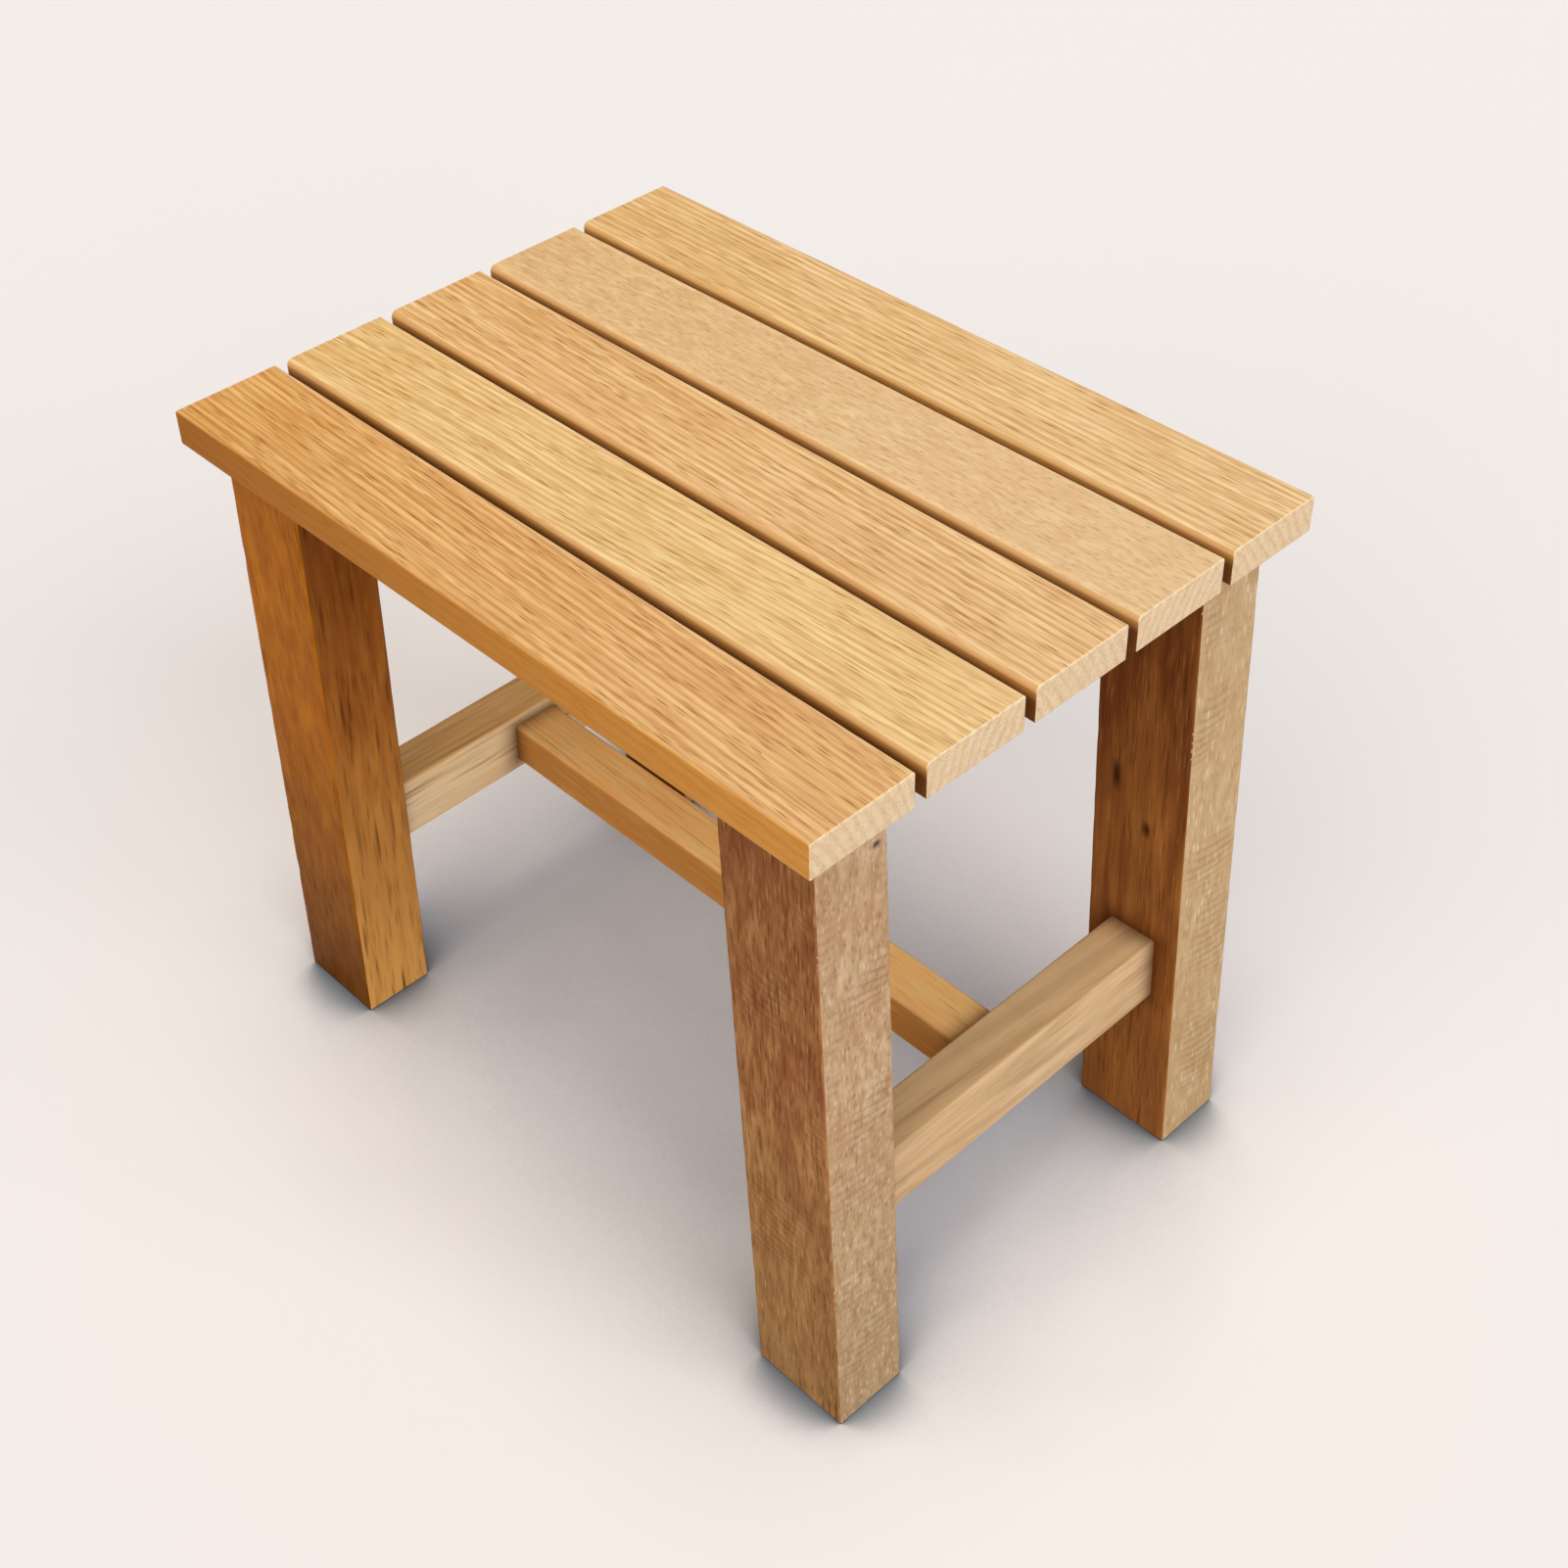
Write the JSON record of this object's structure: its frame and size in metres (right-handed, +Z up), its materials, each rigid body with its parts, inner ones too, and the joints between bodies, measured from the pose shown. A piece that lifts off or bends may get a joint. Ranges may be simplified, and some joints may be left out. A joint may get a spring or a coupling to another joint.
{
  "type": "shower bench",
  "caption": "Low slatted hardwood shower bench: narrow-gapped seat slats on slightly splayed square-cut legs with low end stretchers and a middle stretcher in an H.",
  "frame": {"origin": "on the floor under the middle of the seat", "axes": "+Z up, +X along the slats to the right end, +Y across the seat to the rear"},
  "size_m": [0.402, 0.294, 0.362],
  "materials": {
    "planed_slat_wood": "planed and oiled, golden brown with dark pore lines",
    "sawn_leg_wood": "rough-sawn to lightly planed, brown",
    "planed_rail_wood": "planed, straw to tan",
    "bearer_wood": "sawn, unoiled",
    "dowel_wood": "turned",
    "screw_steel": "stainless"
  },
  "bodies": {
    "root": {"seat_slat_1": "planed_slat_wood", "seat_slat_2": "planed_slat_wood", "seat_slat_3": "planed_slat_wood", "seat_slat_4": "planed_slat_wood", "seat_slat_5": "planed_slat_wood", "leg_front_left": "sawn_leg_wood", "leg_front_right": "sawn_leg_wood", "leg_rear_left": "sawn_leg_wood", "leg_rear_right": "sawn_leg_wood", "end_stretcher_left": "planed_rail_wood", "end_stretcher_right": "planed_rail_wood", "middle_stretcher": "planed_rail_wood", "seat_bearer_left": "bearer_wood", "seat_bearer_right": "bearer_wood", "slat_screws": "screw_steel", "leg_top_dowels": "dowel_wood"}
  },
  "joints": []
}
